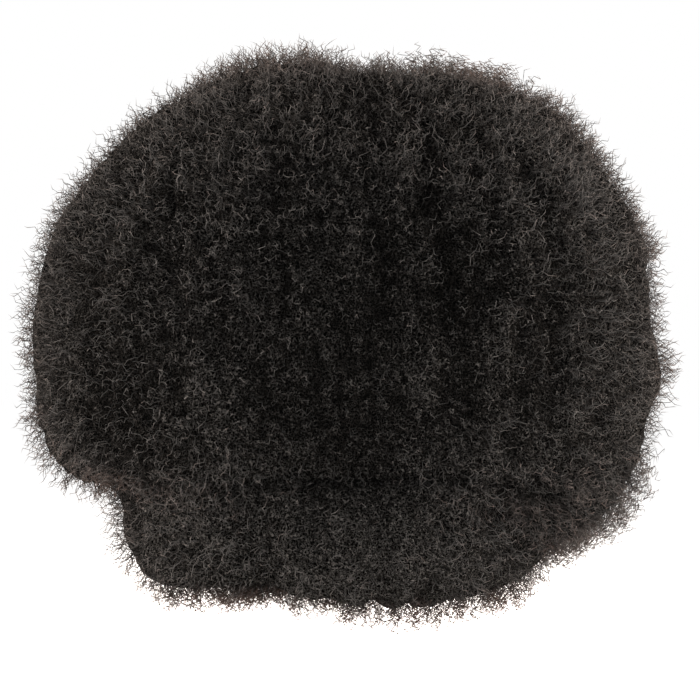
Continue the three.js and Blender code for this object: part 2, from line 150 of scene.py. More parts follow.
net_cloth, nodes, link, shader = material("black stretch net", 0.8, 0.2)
place_node = nodes.new("ShaderNodeTexCoord")
holes = nodes.new("ShaderNodeTexVoronoi")
holes.feature = "DISTANCE_TO_EDGE"
holes.inputs["Scale"].default_value = 1000 / NET_MESH
holes.inputs["Randomness"].default_value = 0.9
threads = nodes.new("ShaderNodeValToRGB")
threads.color_ramp.elements[0].position = 0.1
threads.color_ramp.elements[0].color = NET_THREAD
threads.color_ramp.elements[1].position = 0.2
threads.color_ramp.elements[1].color = NET_BLACK
raised = nodes.new("ShaderNodeBump")
raised.inputs["Strength"].default_value = 0.8
raised.inputs["Distance"].default_value = 0.0004
link(place_node.outputs["Object"], holes.inputs["Vector"])
link(holes.outputs["Distance"], threads.inputs["Fac"])
link(threads.outputs["Color"], shader.inputs["Base Color"])
link(threads.outputs["Color"], raised.inputs["Height"])
link(raised.outputs["Normal"], shader.inputs["Normal"])
cap_net.data.materials.append(net_cloth)
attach(cap_net, "root")
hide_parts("cap_net")

# Cap tape
# A woven elastic tape folded over the net's edge and sewn through both legs. It grips the head
# all round, and its ribs run across it.
CLEARANCE, TAPE_WALL, TAPE_ROUNDING = 0.4, 1.0, 0.6
HAIR_SEAT = NET_THICKNESS + CLEARANCE
TAPE_INSIDE = -CLEARANCE - TAPE_WALL
TAPE_OUTSIDE = HAIR_SEAT + TAPE_WALL
TAPE_SEAT = TAPE_OUTSIDE + 2 * CLEARANCE
TAPE_END = CLEARANCE + TAPE_WALL
TAPE_COLUMNS, TAPE_UNITS_PER_DEGREE = 192, 1.5
TAPE_BLACK, TAPE_RIB = (0.008, 0.007, 0.007, 1), (0.026, 0.022, 0.02, 1)

tape_turns = np.arange(TAPE_COLUMNS) * 360 / TAPE_COLUMNS
# The tape's section: the offset outside the net's inner face, and the distance past the cap's edge
tape_profile = (
    (TAPE_INSIDE, -TAPE_WIDTH),
    (TAPE_INSIDE, -TAPE_WIDTH / 2),
    (TAPE_INSIDE, TAPE_END - TAPE_ROUNDING),
    (TAPE_INSIDE + TAPE_ROUNDING, TAPE_END),
    (TAPE_OUTSIDE - TAPE_ROUNDING, TAPE_END),
    (TAPE_OUTSIDE, TAPE_END - TAPE_ROUNDING),
    (TAPE_OUTSIDE, -TAPE_WIDTH / 2),
    (TAPE_OUTSIDE, -TAPE_WIDTH),
    (HAIR_SEAT, -TAPE_WIDTH),
    (HAIR_SEAT, CLEARANCE),
    (-CLEARANCE, CLEARANCE),
    (-CLEARANCE, -TAPE_WIDTH),
)
tape_rows = np.stack(
    [
        place(tape_turns, *cap_section(tape_turns, offset, past_edge(tape_turns, along)))
        for offset, along in tape_profile
    ]
)
tape_index = np.arange(tape_rows.size // 3).reshape(tape_rows.shape[:2])
tape_next = np.roll(tape_index, -1, axis=0)
tape_quads = np.stack(
    [tape_index, np.roll(tape_index, -1, axis=1), np.roll(tape_next, -1, axis=1), tape_next],
    axis=-1,
)
tape_along = np.array([along for offset, along in tape_profile])[:, None]
tape_uv = np.stack(
    np.broadcast_arrays(tape_turns * TAPE_UNITS_PER_DEGREE, tape_along), axis=-1
)
cap_tape = mesh_object(
    "cap_tape_woven",
    tape_rows.reshape(-1, 3),
    tape_quads.reshape(-1, 4),
    np.zeros((0, 3), int),
    tape_uv.reshape(-1, 2),
)

elastic, nodes, link, shader = material("black woven elastic", 0.65, 0.25)
along_tape = nodes.new("ShaderNodeUVMap")
along_tape.uv_map = "around"
ribs = nodes.new("ShaderNodeTexWave")
ribs.inputs["Scale"].default_value = 0.35
ribs.inputs["Distortion"].default_value = 0.4
rib_colour = nodes.new("ShaderNodeValToRGB")
rib_colour.color_ramp.elements[0].color = TAPE_BLACK
rib_colour.color_ramp.elements[1].color = TAPE_RIB
raised = nodes.new("ShaderNodeBump")
raised.inputs["Strength"].default_value = 0.5
raised.inputs["Distance"].default_value = 0.0003
link(along_tape.outputs["UV"], ribs.inputs["Vector"])
link(ribs.outputs["Fac"], rib_colour.inputs["Fac"])
link(ribs.outputs["Fac"], raised.inputs["Height"])
link(rib_colour.outputs["Color"], shader.inputs["Base Color"])
link(raised.outputs["Normal"], shader.inputs["Normal"])
cap_tape.data.materials.append(elastic)
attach(cap_tape, "root")
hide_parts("cap_tape")

# Upper hair
# Kinky fibre on wefts that are sewn row over row round the cap. It puffs out from the crown in
# long soft locks, parts on the wearer's right of the front, and is cut open round the face.
HAIR_TOP, HAIR_LEFT, HAIR_RIGHT, HAIR_BACK, HAIR_FRONT = 33.0, 130.0, 127.0, 82.0, 40.0
BELLY_FALL, LEFT_FALL, RIGHT_FALL, BACK_FALL, FRINGE_FALL = 34.0, 138.0, 174.0, 152.0, 12.0
NECK_WIDTH, NECK_DEPTH, NECK_START = 146.0, 172.0, 50.0
HEM_POLAR, BACK_HEM_POLAR, UNDER_REACH, BACK_UNDER_REACH = 154.0, 138.0, 0.82, 0.94
FACE_TURN, FACE_SOFTEN, NAPE_TURN, NAPE_SOFTEN, NAPE_WEFT_RISE = 52.0, 13.0, 104.0, 14.0, 26.0
PLAN_FULLNESS, LEFT_FULLNESS, RIGHT_FULLNESS, HEM_FULLNESS = 2.15, 2.2, 2.35, 4.0
LOCK_STEP, LOCK_WIDTH, LOCK_RELIEF, PART_TURN = 12.0, 40.0, 8.0, -17.0
SWELL_RISE, SWELL_TURN, SWELL_SPREAD = 14.0, -58.0, 52.0
LOCK_SHIFT = (0, -1.5, 0.5, 1.5, -0.5)
LOCK_SIZE = (1.0, 0.86, 1.12, 0.9, 1.05)
LOCK_LIFT = (0.9, 0.45, 1.0, 0.6, 0.75)
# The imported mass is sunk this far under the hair's outline, which the loose curls reach
CROWN_SUNK, FLANK_SUNK, HEM_SUNK = 11.0, 15.0, 12.0
# Behind the wearer's right ear the hair is thinner: the middle and the spread of that stretch in
# degrees, and how much further its hem and its flank are sunk, less where that is negative
THIN_TURN, THIN_SPREAD, THIN_HEM, THIN_FLANK = 249.0, 42.0, -10.0, 3.0
# Columns round the head, then rows from the crown to the hem, from the hem to the cap, and up the cap
HAIR_COLUMNS, OUTER_ROWS, INNER_ROWS, SEAT_ROWS = 320, 97, (3, 14, 14, 3, 2), 15
# The face opening's sides wander by degrees, over a cell in millimetres
FACE_WAVE, FACE_WAVE_CELL = 7.0, 34
# How the relief of the locks goes down from the crown to the hem and varies, and the fine bands' lift
# and the painted light that they add to the rise mark
LOCK_AT_CROWN, LOCK_AT_HEM, LOCK_VARIES, BAND_LIFT, BAND_PAINTED_LIGHT = 0.75, 0.4, 0.25, 1.6, 0.35
PART_DEPTH, PART_HALF, HAIR_STRAY, GROWN_UNDER = 12, 5, 2.2, 31
FRIZZ_HILL, FRIZZ_BUMP, FRIZZ_SWELL, FRIZZ_SINK = 3.6, 1.8, 2.8, 1.6
# Tufts and hollows on top of the locks: turn and elevation in degrees, seen from the middle of
# the hair at its widest level, then half width and lift in millimetres
TUFTS = (
    (205, -27, 28, 8),
    (217, -34, 19, -8),
    (172, -42, 26, 6),
    (203, -41, 22, 5),
    (150, -29, 30, 6),
    (238, -31, 26, 6),
    (128, 83, 16, 6),
    (284, 81, 16, 4),
    (170, 59, 9, -8),
    (204, 63, 10, -7),
    (176, 56, 12, 4),
    (84, 70, 40, 6),
    (92, 4, 26, 5),
    (90, -19, 22, 7),
    (268, 15, 32, 5),
    (270, -6, 24, 8),
    (268, -33, 16, -5),
    (270, -28, 28, -20),
    (264, -41, 28, -6),
    (258, -49, 20, 5),
    (108, -46, 26, 9),
    (215, -57, 24, 5),
    (166, -58, 24, -12),
    (244, -52, 22, 7),
    (272, 66, 34, -5),
    (150, -60, 34, -9),
    (94, -26, 22, 8),
    (82, 76, 40, 4),
    (270, 48, 30, 5),
    (114, -51, 22, 8),
    (48, -5, 16, 7),
    (50, -36, 18, 8),
    (313, -18, 16, 7),
    (310, -44, 16, 7),
    (22, 27, 14, 6),
    (343, 30, 13, 5),
)
TUFT_DISTANCE = 175.0
DEEP_BLACK = (0.0008, 0.0008, 0.0008, 1)
CURL_BROWN = (0.018, 0.017, 0.016, 1)
CURL_GREY = (0.1, 0.096, 0.091, 1)
# Curl lines drawn on the mass as cells a metre and a thickness, and patches of lighter hair as
# spots a metre, the noise's low and high, and the brightness there
FINE_LINES, WIDE_LINES = (640, 0.12), (400, 0.08)
WIDE_PATCHES, SMALL_PATCHES = (140, 0.36, 0.64, 0.55, 1.0), (620, 0.35, 0.65, 0.4, 1.5)


def mixed(low, high, share):
    """The value at a share of the way from low to high."""
    return low + (high - low) * share


def unit(vectors):
    """The vectors divided by their lengths."""
    return vectors / np.maximum(np.linalg.norm(vectors, axis=-1, keepdims=True), 1e-12)


def noise(points, cell, seed):
    """Smooth value noise in -1..1 at points in metres.

    Corners of a lattice with a cell in millimetres take seeded random values, and a point takes
    the eased blend of the eight corners round it.
    """
    rng = np.random.default_rng(seed)
    shuffle, values = rng.permutation(256), rng.uniform(-1, 1, 256)
    scaled = points * (1000 / cell)
    corner = np.floor(scaled).astype(int)
    share = scaled - corner
    share = share * share * (3 - 2 * share)
    total = 0
    for step in np.ndindex(2, 2, 2):
        x, y, z = np.moveaxis((corner + step) & 255, -1, 0)
        chosen = values[shuffle[(shuffle[(shuffle[x] + y) & 255] + z) & 255]]
        total = total + chosen * np.prod(np.where(step, share, 1 - share), axis=-1)
    return total


def frizz(points, seed):
    """Clumps of frizz in millimetres: hills of 22 mm and bumps of 10 mm on a swell of 42 mm.

    Hills and bumps are sizes of noise, so that creases lie between them, and a power below 1
    makes the hills rounder.
    """
    hills = FRIZZ_HILL * np.abs(noise(points, 22, seed)) ** 0.8
    hills = hills + FRIZZ_BUMP * np.abs(noise(points, 10, seed + 1))
    return hills - FRIZZ_SINK + FRIZZ_SWELL * noise(points, 42, seed + 2)


def streaks(turn, share, seed):
    """Bands in -1..1 that fan out from the crown, as noise stretched from the crown to the hem."""
    t = np.radians(turn)
    stretched = np.stack([0.19 * np.sin(t), 0.19 * np.cos(t), 0.05 * share], axis=-1)
    return 0.55 * noise(stretched, 16, seed) + 0.6 * noise(stretched, 7, seed + 1)


def fall_at(turn, left, right, back):
    """How far hair falls from the crown, blended by sin² from the back or front to a side."""
    side = np.where(np.sin(np.radians(turn)) >= 0, left, right)
    across = np.sin(np.radians(turn)) ** 2
    return CAP_HEIGHT + mixed(np.where(aside(turn) > 90, back, side), side, across)


def behind_ear(turn):
    """0 in front of the ear and 1 behind it, where the nape's hair starts."""
    return ease(aside(turn), NAPE_TURN, NAPE_TURN + NAPE_SOFTEN)


def hair_section(turn, polar, sink, hem_sink):
    """Reach and height on the hair's outline, sunk by a distance, and by another at the hem.

    The reach is the plan's oval times sin(polar)^(2/f), and the height goes from the widest
    level up or down by |cos(polar)|^(2/f), where f is the fullness there.
    """
    left = np.sin(np.radians(turn)) >= 0
    half = CAP_WIDTH / 2 + np.where(left, HAIR_LEFT, HAIR_RIGHT) - sink
    end = CAP_DEPTH / 2 + np.where(aside(turn) > 90, HAIR_BACK, HAIR_FRONT) - sink
    belly = -CAP_HEIGHT - BELLY_FALL
    above = polar < np.pi / 2
    lean = (1 + np.sin(np.radians(turn))) / 2
    power = 2 / np.where(above, mixed(RIGHT_FULLNESS, LEFT_FULLNESS, lean), HEM_FULLNESS)
    hem = -fall_at(turn, LEFT_FALL, RIGHT_FALL, BACK_FALL)
    height = np.where(above, HAIR_TOP - belly - sink, hem - belly + hem_sink)
    near = ease(SWELL_SPREAD - aside(turn - SWELL_TURN), 0, SWELL_SPREAD)
    swell = np.where(above, SWELL_RISE * near * np.sin(2 * polar) ** 2, 0)
    reach = oval(turn, half, end, PLAN_FULLNESS) * np.sin(polar) ** power
    return reach, belly + height * np.abs(np.cos(polar)) ** power + swell


def hem_polar(turn):
    """Where the hair ends: at the fringe over the face, and at the hem elsewhere."""
    belly = -CAP_HEIGHT - BELLY_FALL
    forehead = -CAP_HEIGHT * EDGE_LINE[0][1] - FRINGE_FALL
    fringe = np.arccos(((forehead - belly) / (HAIR_TOP - belly)) ** (LEFT_FULLNESS / 2))
    hem = np.radians(mixed(HEM_POLAR, BACK_HEM_POLAR, behind_ear(turn)))
    return mixed(fringe, hem, ease(aside(turn), FACE_TURN - FACE_SOFTEN, FACE_TURN + FACE_SOFTEN))


def stretch(rows, *path):
    """Rows of a section between its points: straight pieces with a number of rows each."""
    parts = []
    for (start, end), count in zip(zip(path, path[1:]), rows):
        share = np.arange(count)[:, None] / count
        parts.append(np.stack([mixed(a, b, share) for a, b in zip(start, end)]))
    return np.concatenate(parts, axis=1)


def outwards(rows, closed):
    """Unit normals of a grid of points, from the cross product of its two directions."""
    if closed:
        along = np.roll(rows, -1, axis=1) - np.roll(rows, 1, axis=1)
    else:
        along = np.gradient(rows, axis=1)
    return unit(np.cross(np.gradient(rows, axis=0), along))


def locks(turns, middles, kinds, degree):
    """The relief of soft locks side by side in millimetres: the highest of cos² humps.

    Each hump has its own width and lift, and fades out where its neighbour is higher.
    """
    humps = []
    for middle, kind in zip(middles, kinds):
        away = (turns - middle - LOCK_SHIFT[kind] + 180) % 360 - 180
        half = np.minimum(LOCK_WIDTH * 0.6 * LOCK_SIZE[kind], LOCK_STEP * degree * 0.75) + 1e-6
        share = np.clip(away * degree / half, -1, 1)
        humps.append(LOCK_LIFT[kind] * np.cos(share * np.pi / 2) ** 2)
    return LOCK_RELIEF * np.max(humps, axis=0)


def tufted(rows):
    """Millimetres that the tufts add to points: a bell curve of the distance to each."""
    seen = unit(rows + (0, 0, (CAP_HEIGHT + BELLY_FALL) * 0.001))
    total = 0
    for turn, elevation, half, rise in TUFTS:
        up = np.radians(elevation)
        spot = place(np.float64(turn), 1000 * np.cos(up), 1000 * np.sin(up))
        distance = TUFT_DISTANCE * np.linalg.norm(seen - spot, axis=-1)
        total = total + rise * np.exp(-((distance / half) ** 2))
    return total


def standing(lift):
    """How far hair stands out, from 0 to 1: 0.45 and a sixteenth of its lift in millimetres."""
    return np.clip(0.45 + lift / 16, 0, 1)


hair_turns = np.arange(HAIR_COLUMNS) * 360 / HAIR_COLUMNS
hair_polars = hem_polar(hair_turns) * np.linspace(0, 1, OUTER_ROWS)[:, None]
hair_behind = behind_ear(hair_turns)
hair_sunk = mixed(CROWN_SUNK, FLANK_SUNK, ease(hair_polars, 0.4, 1.0))
hair_thin = ease(THIN_SPREAD - aside(hair_turns - THIN_TURN), 0, THIN_SPREAD * 0.6)
hair_sunk = hair_sunk + THIN_FLANK * hair_thin * ease(hair_polars, 1.6, 2.1)
hem_sunk = HEM_SUNK + THIN_HEM * hair_thin
crown_reach, crown_height = hair_section(hair_turns, hair_polars, hair_sunk, hem_sunk)
hem_reach, hem_height = crown_reach[-1], crown_height[-1]
weft = cap_section(hair_turns, HAIR_SEAT, past_edge(hair_turns, -NAPE_WEFT_RISE))
tape_top = cap_section(hair_turns, TAPE_SEAT, past_edge(hair_turns, -TAPE_WIDTH - CLEARANCE))
foot = cap_section(hair_turns, TAPE_SEAT, past_edge(hair_turns, TAPE_END + 2 * CLEARANCE))
neck_reach = oval(hair_turns, NECK_WIDTH / 2, NECK_DEPTH / 2, 2)
neck_share = np.clip((foot[1] - hem_height) / (foot[1] + CAP_HEIGHT + NECK_START), 0, 1)
wall = mixed(foot[0], neck_reach, neck_share), np.minimum(hem_height, foot[1] - 1)
hem_inside = hem_reach * mixed(UNDER_REACH, BACK_UNDER_REACH, hair_behind), hem_height - 2
wall, foot_in, top_in = (
    tuple(mixed(a, b, hair_behind) for a, b in zip(point, weft)) for point in (wall, foot, tape_top)
)
seat_polars = past_edge(hair_turns, -mixed(TAPE_WIDTH + SEAT_STEP, NAPE_WEFT_RISE, hair_behind))
seat_polars = seat_polars * np.linspace(1, 0, SEAT_ROWS)[:, None]
seat = cap_section(hair_turns, HAIR_SEAT, seat_polars)
inner = stretch(
    INNER_ROWS,
    (hem_reach, hem_height),
    hem_inside,
    wall,
    foot_in,
    top_in,
    (seat[0][0], seat[1][0]),
)
hair_rows = place(
    hair_turns,
    np.concatenate([crown_reach, inner[0][1:], seat[0]]),
    np.concatenate([crown_height, inner[1][1:], seat[1]]),
)

# The sides of the face opening wander: points near them turn a few degrees, except on the cap
by_opening = 1 - ease(np.abs(aside(hair_turns) - FACE_TURN), 6, 30)
off_cap = 1 - ease(np.arange(len(hair_rows)), OUTER_ROWS + 14, OUTER_ROWS + 29)[:, None]
wave = np.radians(FACE_WAVE) * noise(hair_rows * (1, 0, 1), FACE_WAVE_CELL, 16)
wave = wave * by_opening * off_cap
turned_x = hair_rows[..., 0] * np.cos(wave) - hair_rows[..., 1] * np.sin(wave)
turned_y = hair_rows[..., 1] * np.cos(wave) + hair_rows[..., 0] * np.sin(wave)
hair_rows = np.stack([turned_x, turned_y, hair_rows[..., 2]], axis=-1)

# The locks wander a little and come and go, and frizz lies over them
outer_rows = hair_rows[:OUTER_ROWS]
shares = hair_polars / hem_polar(hair_turns)
degree = np.linalg.norm(np.roll(outer_rows, -1, axis=1) - outer_rows, axis=-1)
degree = degree * 1000 * HAIR_COLUMNS / 360
wander = 2.6 * noise(outer_rows, 75, 11) + 1.2 * noise(outer_rows, 30, 12)
lock_count = int(360 / LOCK_STEP)
lock_turns = PART_TURN + (np.arange(lock_count) + 0.5) * LOCK_STEP
relief = locks(hair_turns + wander, lock_turns, np.arange(lock_count) % 5, degree)
relief_share = mixed(LOCK_AT_CROWN, LOCK_AT_HEM, ease(shares, 0.3, 0.75))
relief *= relief_share + LOCK_VARIES * noise(outer_rows, 60, 13)
bands = streaks(hair_turns + wander, shares, 14)
relief = (relief + BAND_LIFT * bands) * ease(shares, 0.02, 0.2)
part_across = ((hair_turns - PART_TURN + 180) % 360 - 180) * degree
part_depth = PART_DEPTH * np.exp(-((part_across / PART_HALF) ** 2)) * ease(shares, 0.03, 0.2)
lift = np.zeros(hair_rows.shape[:2])
under = slice(OUTER_ROWS, OUTER_ROWS + GROWN_UNDER)
lift[:OUTER_ROWS] = relief - part_depth + frizz(outer_rows, 21) + tufted(outer_rows)
lift[under] = frizz(hair_rows[under], 21) * np.linspace(1, 0, GROWN_UNDER)[:, None] ** 0.5
stray = np.random.default_rng(15).uniform(-HAIR_STRAY, HAIR_STRAY, lift.shape)
lift[: under.stop] += stray[: under.stop] * ease(np.arange(under.stop)[:, None], 1, 8)
lift[0] = lift[1].mean()
hair_normals = outwards(hair_rows, True)
hair_normals[0] = (0, 0, 1)
hair_rows = hair_rows + hair_normals * lift[..., None] * 0.001
# The rise mark is how far the hair stands out; the hair's material also paints light on crests and
# shade in hollows with it
rise = standing(lift)
# The raised bands are painted lighter as well
rise[:OUTER_ROWS] = np.clip(rise[:OUTER_ROWS] + BAND_PAINTED_LIGHT * bands, 0, 1)
mass_points, mass_quads, mass_triangles = closed_dome(hair_rows)
mass_rise = np.concatenate([rise[0, :1], rise[1:-1].ravel(), rise[-1, :1]])
hair_mass = mesh_object(
    "hair_upper_mass", mass_points, mass_quads, mass_triangles, rise=mass_rise
)

packed_hair, nodes, link, shader = material("packed kinky hair", 0.8, 0.0)
place_node = nodes.new("ShaderNodeTexCoord")
swirl = nodes.new("ShaderNodeTexNoise")
swirl.inputs["Scale"].default_value = 320
swirl.inputs["Detail"].default_value = 1
swirled = nodes.new("ShaderNodeVectorMath")
swirled.operation = "MULTIPLY_ADD"
swirled.inputs[1].default_value = (0.0045, 0.0045, 0.0045)
link(place_node.outputs["Object"], swirl.inputs["Vector"])
link(swirl.outputs["Color"], swirled.inputs[0])
link(place_node.outputs["Object"], swirled.inputs[2])


def curl_lines(scale, thickness):
    """Thin bright curls along the walls between warped cells: 1 on a wall, 0 away from it."""
    cells = nodes.new("ShaderNodeTexVoronoi")
    cells.feature = "DISTANCE_TO_EDGE"
    cells.inputs["Scale"].default_value = scale
    line = nodes.new("ShaderNodeMapRange")
    line.interpolation_type = "SMOOTHSTEP"
    line.inputs["From Max"].default_value = thickness
    line.inputs["To Min"].default_value = 1.0
    line.inputs["To Max"].default_value = 0.0
    link(swirled.outputs["Vector"], cells.inputs["Vector"])
    link(cells.outputs["Distance"], line.inputs["Value"])
    return line.outputs["Result"]


def patches(scale, low, high, to_low, to_high):
    """Cloudy noise between two values, for patches of lighter and darker hair."""
    cloud = nodes.new("ShaderNodeTexNoise")
    cloud.inputs["Scale"].default_value = scale
    cloud.inputs["Detail"].default_value = 2
    spread = nodes.new("ShaderNodeMapRange")
    spread.inputs["From Min"].default_value = low
    spread.inputs["From Max"].default_value = high
    spread.inputs["To Min"].default_value = to_low
    spread.inputs["To Max"].default_value = to_high
    link(place_node.outputs["Object"], cloud.inputs["Vector"])
    link(cloud.outputs["Fac"], spread.inputs["Value"])
    return spread.outputs["Result"]


def combined(operation, first, second):
    """The result of one Math node on two sockets."""
    made = nodes.new("ShaderNodeMath")
    made.operation = operation
    link(first, made.inputs[0])
    link(second, made.inputs[1])
    return made.outputs["Value"]


curls_drawn = combined("MAXIMUM", curl_lines(*FINE_LINES), curl_lines(*WIDE_LINES))
clumps = combined("MULTIPLY", patches(*WIDE_PATCHES), patches(*SMALL_PATCHES))
bright_curls = combined("MULTIPLY", curls_drawn, clumps)
# Painted light and shade: the rise mark makes the mass's colour lighter on its crests and darker in
# its hollows and creases
crest = nodes.new("ShaderNodeAttribute")
crest.attribute_name = "rise"
painted_crest_shading = nodes.new("ShaderNodeMapRange")
painted_crest_shading.inputs["From Min"].default_value = 0.15
painted_crest_shading.inputs["From Max"].default_value = 0.95
painted_crest_shading.inputs["To Min"].default_value = 0.45
link(crest.outputs["Fac"], painted_crest_shading.inputs["Value"])
curl_colour = nodes.new("ShaderNodeValToRGB")
curl_colour.color_ramp.elements[0].color = DEEP_BLACK
curl_colour.color_ramp.elements[1].color = CURL_GREY
brown = curl_colour.color_ramp.elements.new(0.4)
brown.color = CURL_BROWN
raised = nodes.new("ShaderNodeBump")
raised.inputs["Strength"].default_value = 1.0
raised.inputs["Distance"].default_value = 0.0012
link(combined("MULTIPLY", bright_curls, painted_crest_shading.outputs["Result"]), curl_colour.inputs["Fac"])
link(curl_colour.outputs["Color"], shader.inputs["Base Color"])
link(bright_curls, raised.inputs["Height"])
link(raised.outputs["Normal"], shader.inputs["Normal"])
hair_mass.data.materials.append(packed_hair)
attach(hair_mass, "root")
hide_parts("hair_left", "hair_back", "hair_right")

# Nape hair
# The lowest wefts, sewn along the cap's edge from ear to ear. Their hair comes out from under
# the back and ends in a row of rounded tips.
NAPE_SIDE, NAPE_BACK, NAPE_END_RISE, NAPE_WIDEST, NAPE_FULLNESS = 68.0, 68.0, 17.0, 0.45, 5.0
NAPE_LEFT_FALL, NAPE_BACK_FALL, NAPE_RIGHT_FALL, NAPE_LOCKS = 204.0, 211.0, 200.0, 11
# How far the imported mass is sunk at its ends, its flank and its hem, and how its top swells
NAPE_END_SUNK, NAPE_FLANK_SUNK, NAPE_SUNK, NAPE_SHOULDER, NAPE_STRAY = 12.0, 13.0, 19.0, 7.0, 1.3
# Columns from ear to ear, and those over which an end closes
NAPE_COLUMNS, NAPE_ROUNDED = 151, 7
# Rows from the weft outwards, down the outside, and back up the inside by way of the neck
NAPE_TOP_ROWS, NAPE_OUT_ROWS, NAPE_WALL_ROWS = 10, 43, (10, 14, 5, 2, 2)
# Rows under the hem that have relief, and those over which it fades
NAPE_GROWN_UNDER, NAPE_FADING = 22, 20
# The outside goes from this polar angle down to that one, in degrees
NAPE_HIGH, NAPE_SHOULDER_END, NAPE_LOW = 91, 122, 169


def nape_section(turn, polar, sink, hem_sink):
    """Reach and height on the nape's outline below its widest level, as hair_section has it."""
    half, end = CAP_WIDTH / 2 + NAPE_SIDE - sink, CAP_DEPTH / 2 + NAPE_BACK - sink
    rise = NAPE_END_RISE * (1 - behind_ear(turn))
    hem = hem_sink + rise - fall_at(turn, NAPE_LEFT_FALL, NAPE_RIGHT_FALL, NAPE_BACK_FALL)
    middle = mixed(hem, -CAP_HEIGHT, NAPE_WIDEST)
    power = 2 / NAPE_FULLNESS
    reach = oval(turn, half, end, PLAN_FULLNESS) * np.sin(polar) ** power
    return reach, middle + (hem - middle) * np.abs(np.cos(polar)) ** power


nape_turns = np.linspace(NAPE_TURN - 1, 360 - NAPE_TURN, NAPE_COLUMNS)
nape_shares = np.linspace(0, 1, NAPE_OUT_ROWS) ** 0.8
nape_polars = np.radians(mixed(NAPE_HIGH, NAPE_LOW, nape_shares))[:, None] + 0 * nape_turns
nape_flank = mixed(NAPE_END_SUNK, NAPE_FLANK_SUNK, ease(aside(nape_turns), 108, 135))
nape_out = nape_section(nape_turns, nape_polars, nape_flank, NAPE_SUNK)
nape_foot = cap_section(nape_turns, TAPE_SEAT, past_edge(nape_turns, TAPE_END + 2 * CLEARANCE))
nape_top = cap_section(nape_turns, TAPE_SEAT, past_edge(nape_turns, -TAPE_WIDTH - CLEARANCE))
nape_weft = cap_section(nape_turns, HAIR_SEAT, past_edge(nape_turns, -NAPE_WEFT_RISE + 2))
nape_neck = oval(nape_turns, NECK_WIDTH / 2, NECK_DEPTH / 2, 2)
corner = nape_out[0][0], nape_out[1][0]
hem_corner = nape_out[0][-1], nape_out[1][-1]
neck_low = nape_neck, hem_corner[1]
neck_high = nape_neck, np.minimum(nape_foot[1] - 4, -CAP_HEIGHT - NECK_START)
top_rows = stretch((NAPE_TOP_ROWS,), nape_weft, corner)
wall_rows = stretch(
    NAPE_WALL_ROWS, hem_corner, neck_low, neck_high, nape_foot, nape_top, nape_weft
)
nape_rows = place(
    nape_turns,
    np.concatenate([top_rows[0], nape_out[0], wall_rows[0][1:]]),
    np.concatenate([top_rows[1], nape_out[1], wall_rows[1][1:]]),
)
# Both ends close round, as the rings shrink to a point over their last columns
from_end = np.minimum(np.arange(len(nape_turns)), np.arange(len(nape_turns))[::-1])
closing = np.sqrt(1 - (1 - np.clip(from_end / NAPE_ROUNDED, 0.02, 1)) ** 2)[:, None]
nape_rows = mixed(nape_rows.mean(axis=0), nape_rows, closing)
nape_outer = slice(NAPE_TOP_ROWS, NAPE_TOP_ROWS + NAPE_OUT_ROWS)
nape_grown = slice(0, nape_outer.stop + NAPE_GROWN_UNDER)
nape_step = nape_turns[1] - nape_turns[0]
nape_degree = np.linalg.norm(np.gradient(nape_rows[nape_outer], axis=1), axis=-1)
nape_degree = nape_degree * 1000 / nape_step
nape_wander = 2.2 * noise(nape_rows[nape_outer], 45, 31)
nape_middles = NAPE_TURN + (np.arange(NAPE_LOCKS) + 0.5) * (360 - 2 * NAPE_TURN) / NAPE_LOCKS
nape_lift = np.zeros(nape_rows.shape[:2])
nape_lift[nape_outer] = locks(
    nape_turns + nape_wander, nape_middles, (np.arange(NAPE_LOCKS) * 2) % 5, nape_degree
)
nape_lift[nape_outer] *= 0.7 + 0.3 * noise(nape_rows[nape_outer], 50, 32)
nape_lift[nape_grown] += frizz(nape_rows[nape_grown], 33)
nape_lift[nape_outer] += tufted(nape_rows[nape_outer])
shoulder = NAPE_SHOULDER * (1 + 0.5 * noise(nape_rows[nape_outer], 32, 37))
shoulder_end = ease(nape_polars, np.radians(NAPE_HIGH), np.radians(NAPE_SHOULDER_END))
nape_lift[nape_outer] += shoulder * (1 - shoulder_end)
nape_draws = np.random.default_rng(36)
nape_lift[nape_grown] += nape_draws.uniform(-NAPE_STRAY, NAPE_STRAY, nape_lift[nape_grown].shape)
nape_lift[:NAPE_TOP_ROWS] *= np.linspace(0, 1, NAPE_TOP_ROWS)[:, None]
nape_lift *= ease(from_end, 0, 5)
nape_fading = slice(nape_grown.stop - NAPE_FADING, nape_grown.stop)
nape_lift[nape_fading] *= np.linspace(1, 0, NAPE_FADING)[:, None]
nape_normals = outwards(nape_rows, False)
nape_rows = nape_rows + nape_normals * nape_lift[..., None] * 0.001
ring, length = nape_rows.shape[:2]
nape_index = np.arange(ring * length).reshape(ring, length)
nape_next = np.roll(nape_index, -1, axis=0)
nape_quads = np.stack(
    [nape_index[:, :-1], nape_next[:, :-1], nape_next[:, 1:], nape_index[:, 1:]], axis=-1
).reshape(-1, 4)
end_middles = nape_rows[:, [0, -1]].mean(axis=0)
first_middle = 0 * nape_index[:, 0] + ring * length
start_fan = np.stack([nape_next[:, 0], nape_index[:, 0], first_middle], axis=-1)
end_fan = np.stack([nape_index[:, -1], nape_next[:, -1], first_middle + 1], axis=-1)
# The rise mark paints light on the nape's crests and shade in its hollows and creases, as on the
# upper hair
nape_rise = standing(nape_lift)
nape_mass = mesh_object(
    "hair_nape_mass",
    np.concatenate([nape_rows.reshape(-1, 3), end_middles]),
    nape_quads,
    np.concatenate([start_fan, end_fan]),
    rise=np.concatenate([nape_rise.ravel(), [0, 0]]),
)
nape_mass.data.materials.append(packed_hair)
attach(nape_mass, "root")
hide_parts("hair_nape")

# Loose curls
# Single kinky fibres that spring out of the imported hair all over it. Each is a small spiral
# that leans its own way, and neighbours lean alike, so that they gather in tufts. They are
# longer and looser at the hems, round the face, in the thin hair and on the crown's right.
CURL_SIDES = 3
# How much thicker they grow where the hair is seen edge on from behind or aslant, and how much
# longer they are aslant
OUTLINE_SHARE, CORNER_SHARE, CORNER_LENGTH = 0.8, 1.5, 0.35
